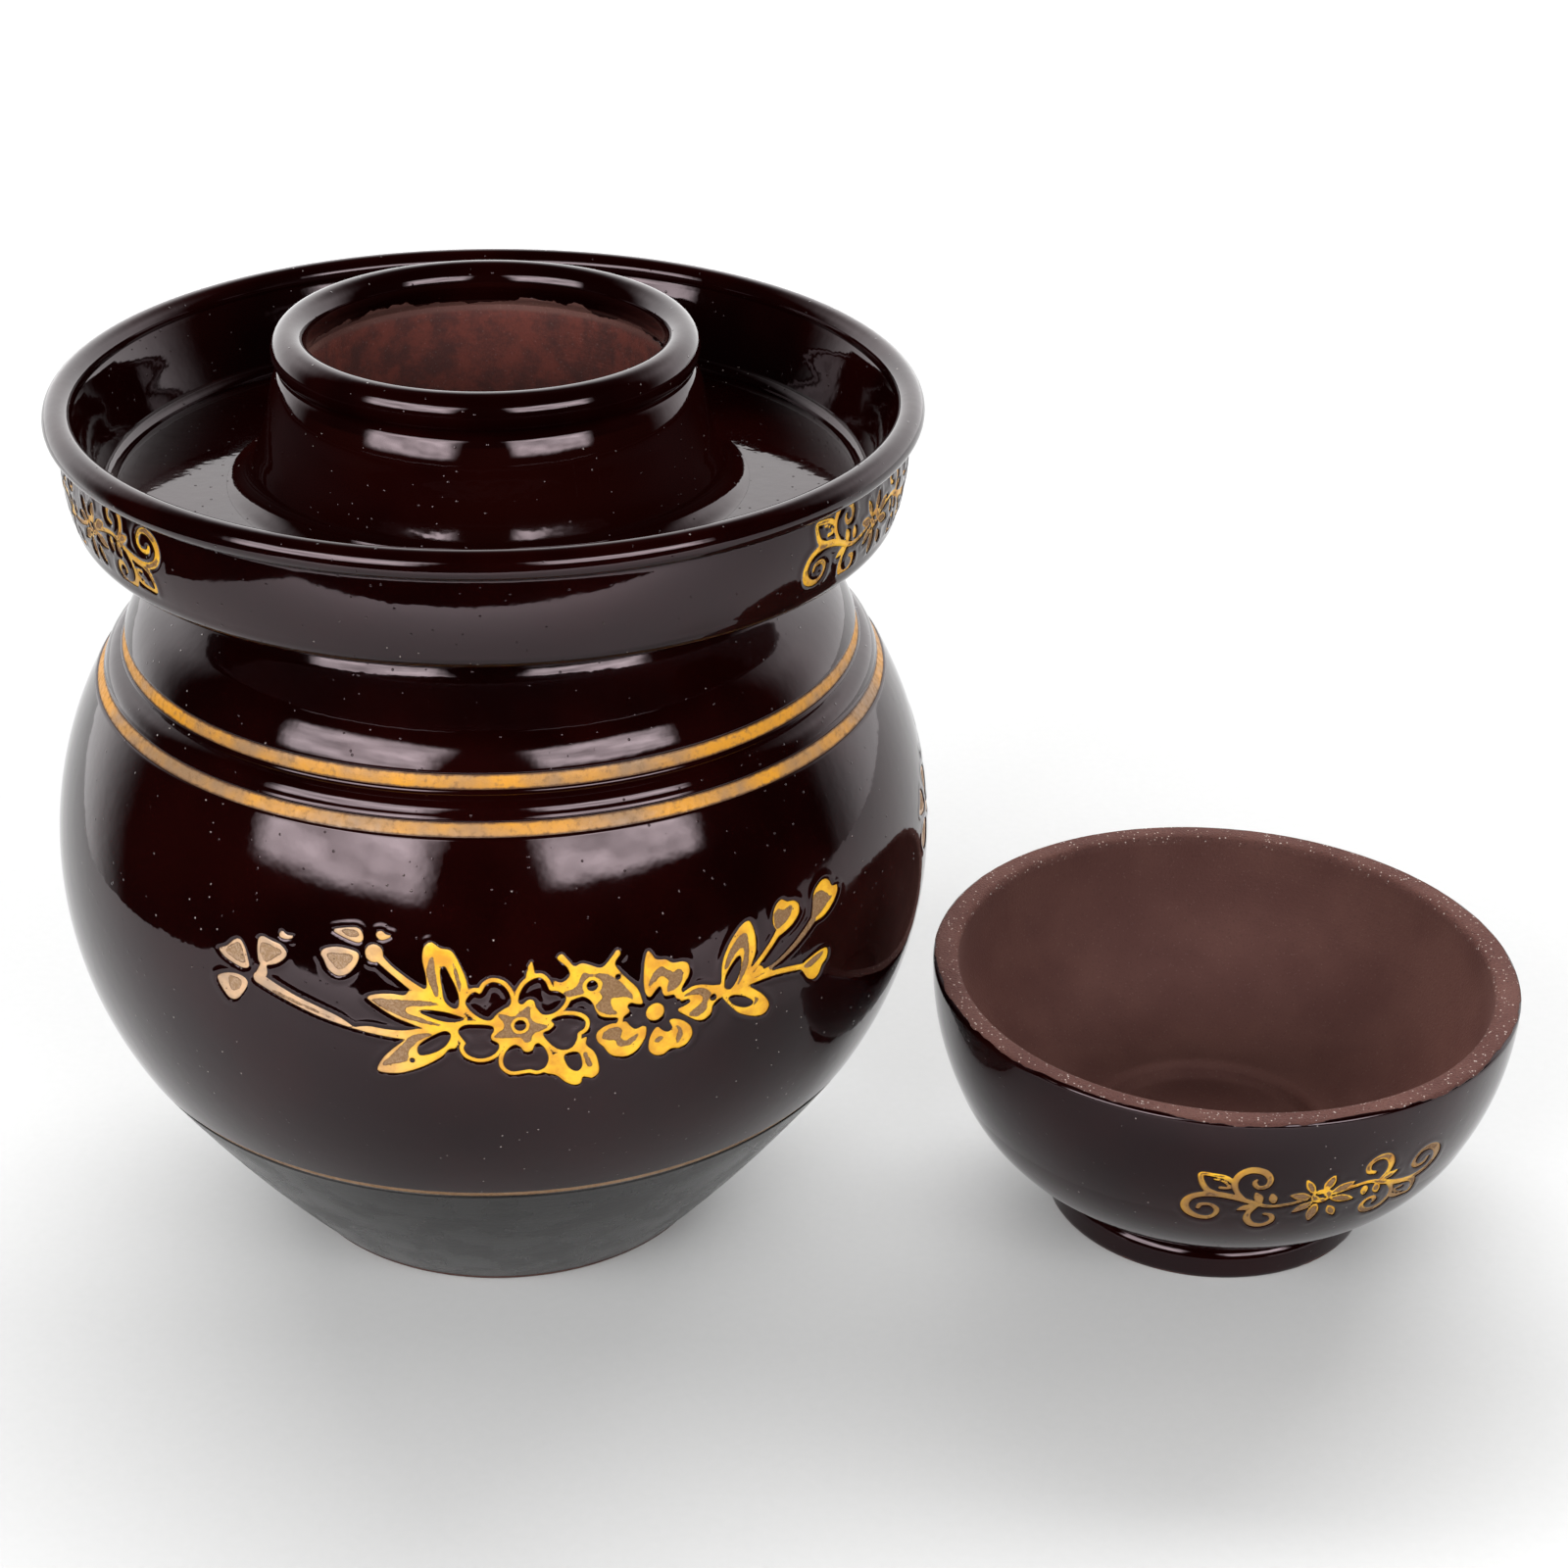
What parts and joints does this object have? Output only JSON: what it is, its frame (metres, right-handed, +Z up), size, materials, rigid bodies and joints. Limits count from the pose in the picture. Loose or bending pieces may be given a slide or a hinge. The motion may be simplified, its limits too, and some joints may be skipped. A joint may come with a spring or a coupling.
{
  "type": "water-sealed pickling crock",
  "caption": "Round-bellied glazed pickling crock with a water-seal moat round its rolled neck and a loose bowl-shaped lid standing beside it.",
  "frame": {"origin": "centre of the jar's flat base, on the surface it stands on", "axes": "+Z up along the jar's axis, +X towards the lid that stands beside it, -Y towards the side with the front spray"},
  "size_m": [0.3536, 0.2079, 0.2253],
  "materials": {
    "dark_glaze": "glossy very dark brown glaze",
    "satin_glaze": "thin satin dark grey-brown glaze",
    "ochre_slip": "ochre slip in scraped lines",
    "tan_slip": "tan slip with ochre edges",
    "pale_slip": "pale grey-tan slip"
  },
  "bodies": {
    "crock": {"base_section": "satin_glaze", "belly_section": "dark_glaze", "shoulder_bead": "dark_glaze", "shoulder_section": "dark_glaze", "neck_collar": "dark_glaze", "moat_floor_pan": "dark_glaze", "moat_wall": "dark_glaze", "foot_band": "ochre_slip", "shoulder_band_lower": "ochre_slip", "shoulder_band_upper": "ochre_slip", "spray_front_main": "ochre_slip", "spray_front_petal_1": "pale_slip", "spray_front_petal_2": "pale_slip", "spray_front_petal_3": "pale_slip", "spray_front_petal_4": "pale_slip", "spray_back_main": "ochre_slip", "spray_back_petal_1": "pale_slip", "spray_back_petal_2": "pale_slip", "spray_back_petal_3": "pale_slip", "spray_back_petal_4": "pale_slip", "moat_frieze_left": "ochre_slip", "moat_frieze_right": "ochre_slip", "moat_frieze_back": "ochre_slip"},
    "lid": {"lid_bowl": "dark_glaze", "lid_foot_ring": "dark_glaze", "lid_frieze_front": "tan_slip", "lid_frieze_back": "tan_slip"}
  },
  "joints": [
    {"name": "lid_lift", "type": "slide", "parent": "crock", "child": "lid", "axis": [0, 0, 1], "range_m": [0, 0.24]}
  ]
}
